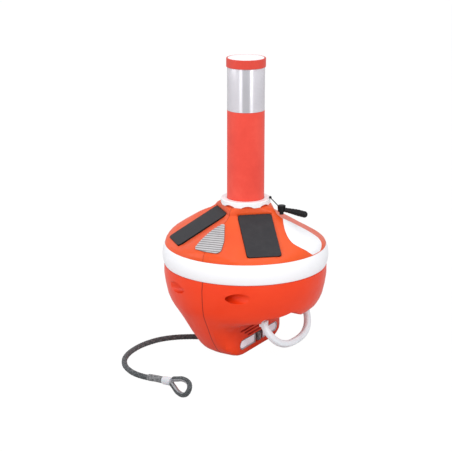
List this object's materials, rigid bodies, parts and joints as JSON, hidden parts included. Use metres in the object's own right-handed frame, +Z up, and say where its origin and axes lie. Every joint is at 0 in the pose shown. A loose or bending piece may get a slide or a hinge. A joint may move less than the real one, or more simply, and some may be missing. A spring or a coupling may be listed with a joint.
{
  "type": "marker buoy",
  "caption": "Floating marker buoy with a white belt, a foam mast with a reflective sleeve and lamp, a carrying handle and a rope drum in its keel.",
  "frame": {"origin": "middle of the flat keel base, on the floor", "axes": "+Z up along the mast, +X towards the carrying handle, the hull's seam on the plane x = 0"},
  "size_m": [0.3017, 0.439, 0.529],
  "materials": {
    "hull_orange": "satin moulded shell",
    "mast_foam_red": "matt foam skin",
    "white_plastic": "satin",
    "charcoal_panel": "matt dark sheet",
    "ribbed_window": "milky, fine ribs",
    "reflective_sleeve": "prismatic reflective film",
    "steel": "bright",
    "black_cord": "matt",
    "grey_rope": "braided",
    "drum_grey": "satin"
  },
  "bodies": {
    "hull": {"hull_half_handle_side": "hull_orange", "hull_half_rope_side": "hull_orange", "belt": "white_plastic", "collar": "white_plastic", "dark_panel_045": "charcoal_panel", "dark_panel_315": "charcoal_panel", "ribbed_window": "ribbed_window", "sign_plate": "white_plastic", "drum_axle": "steel", "window_bezel_near": "steel", "window_bezel_far": "steel", "rope_bight": "grey_rope", "label_plate_near": "white_plastic", "label_plate_far": "white_plastic", "seam_bolt_right_near": "steel", "seam_bolt_right_far": "steel", "seam_bolt_left_near": "steel", "seam_bolt_left_far": "steel", "handle_pin_near": "steel", "handle_pin_far": "steel", "hinge_bracket_near": "hull_orange", "hinge_bracket_far": "hull_orange", "tether_knot": "black_cord", "tether_cord": "black_cord", "cord_lock": "black_cord", "lock_plunger": "black_cord", "pull_tab": "black_cord", "rope": "grey_rope", "rope_splice": "grey_rope", "rope_ferrule": "white_plastic", "rope_eye": "grey_rope", "thimble": "steel"},
    "mast": {"mast_tube": "mast_foam_red", "reflective_sleeve": "reflective_sleeve", "mast_cap": "mast_foam_red", "lamp_lens": "white_plastic"},
    "handle": {"handle_hoop": "white_plastic"},
    "drum": {"drum_spool": "drum_grey", "wound_rope": "grey_rope"}
  },
  "joints": [
    {"name": "mast_lift", "type": "slide", "parent": "hull", "child": "mast", "axis": [0, 0, 1], "range_m": [0, 0.06]},
    {"name": "handle_swing", "type": "hinge", "parent": "hull", "child": "handle", "pos_m": [0.077, 0, 0.0788], "axis": [0, 1, 0], "range_deg": [-40, 20]},
    {"name": "drum_turn", "type": "hinge", "parent": "hull", "child": "drum", "pos_m": [0, 0, 0.0688], "axis": [1, 0, 0], "continuous": true}
  ]
}
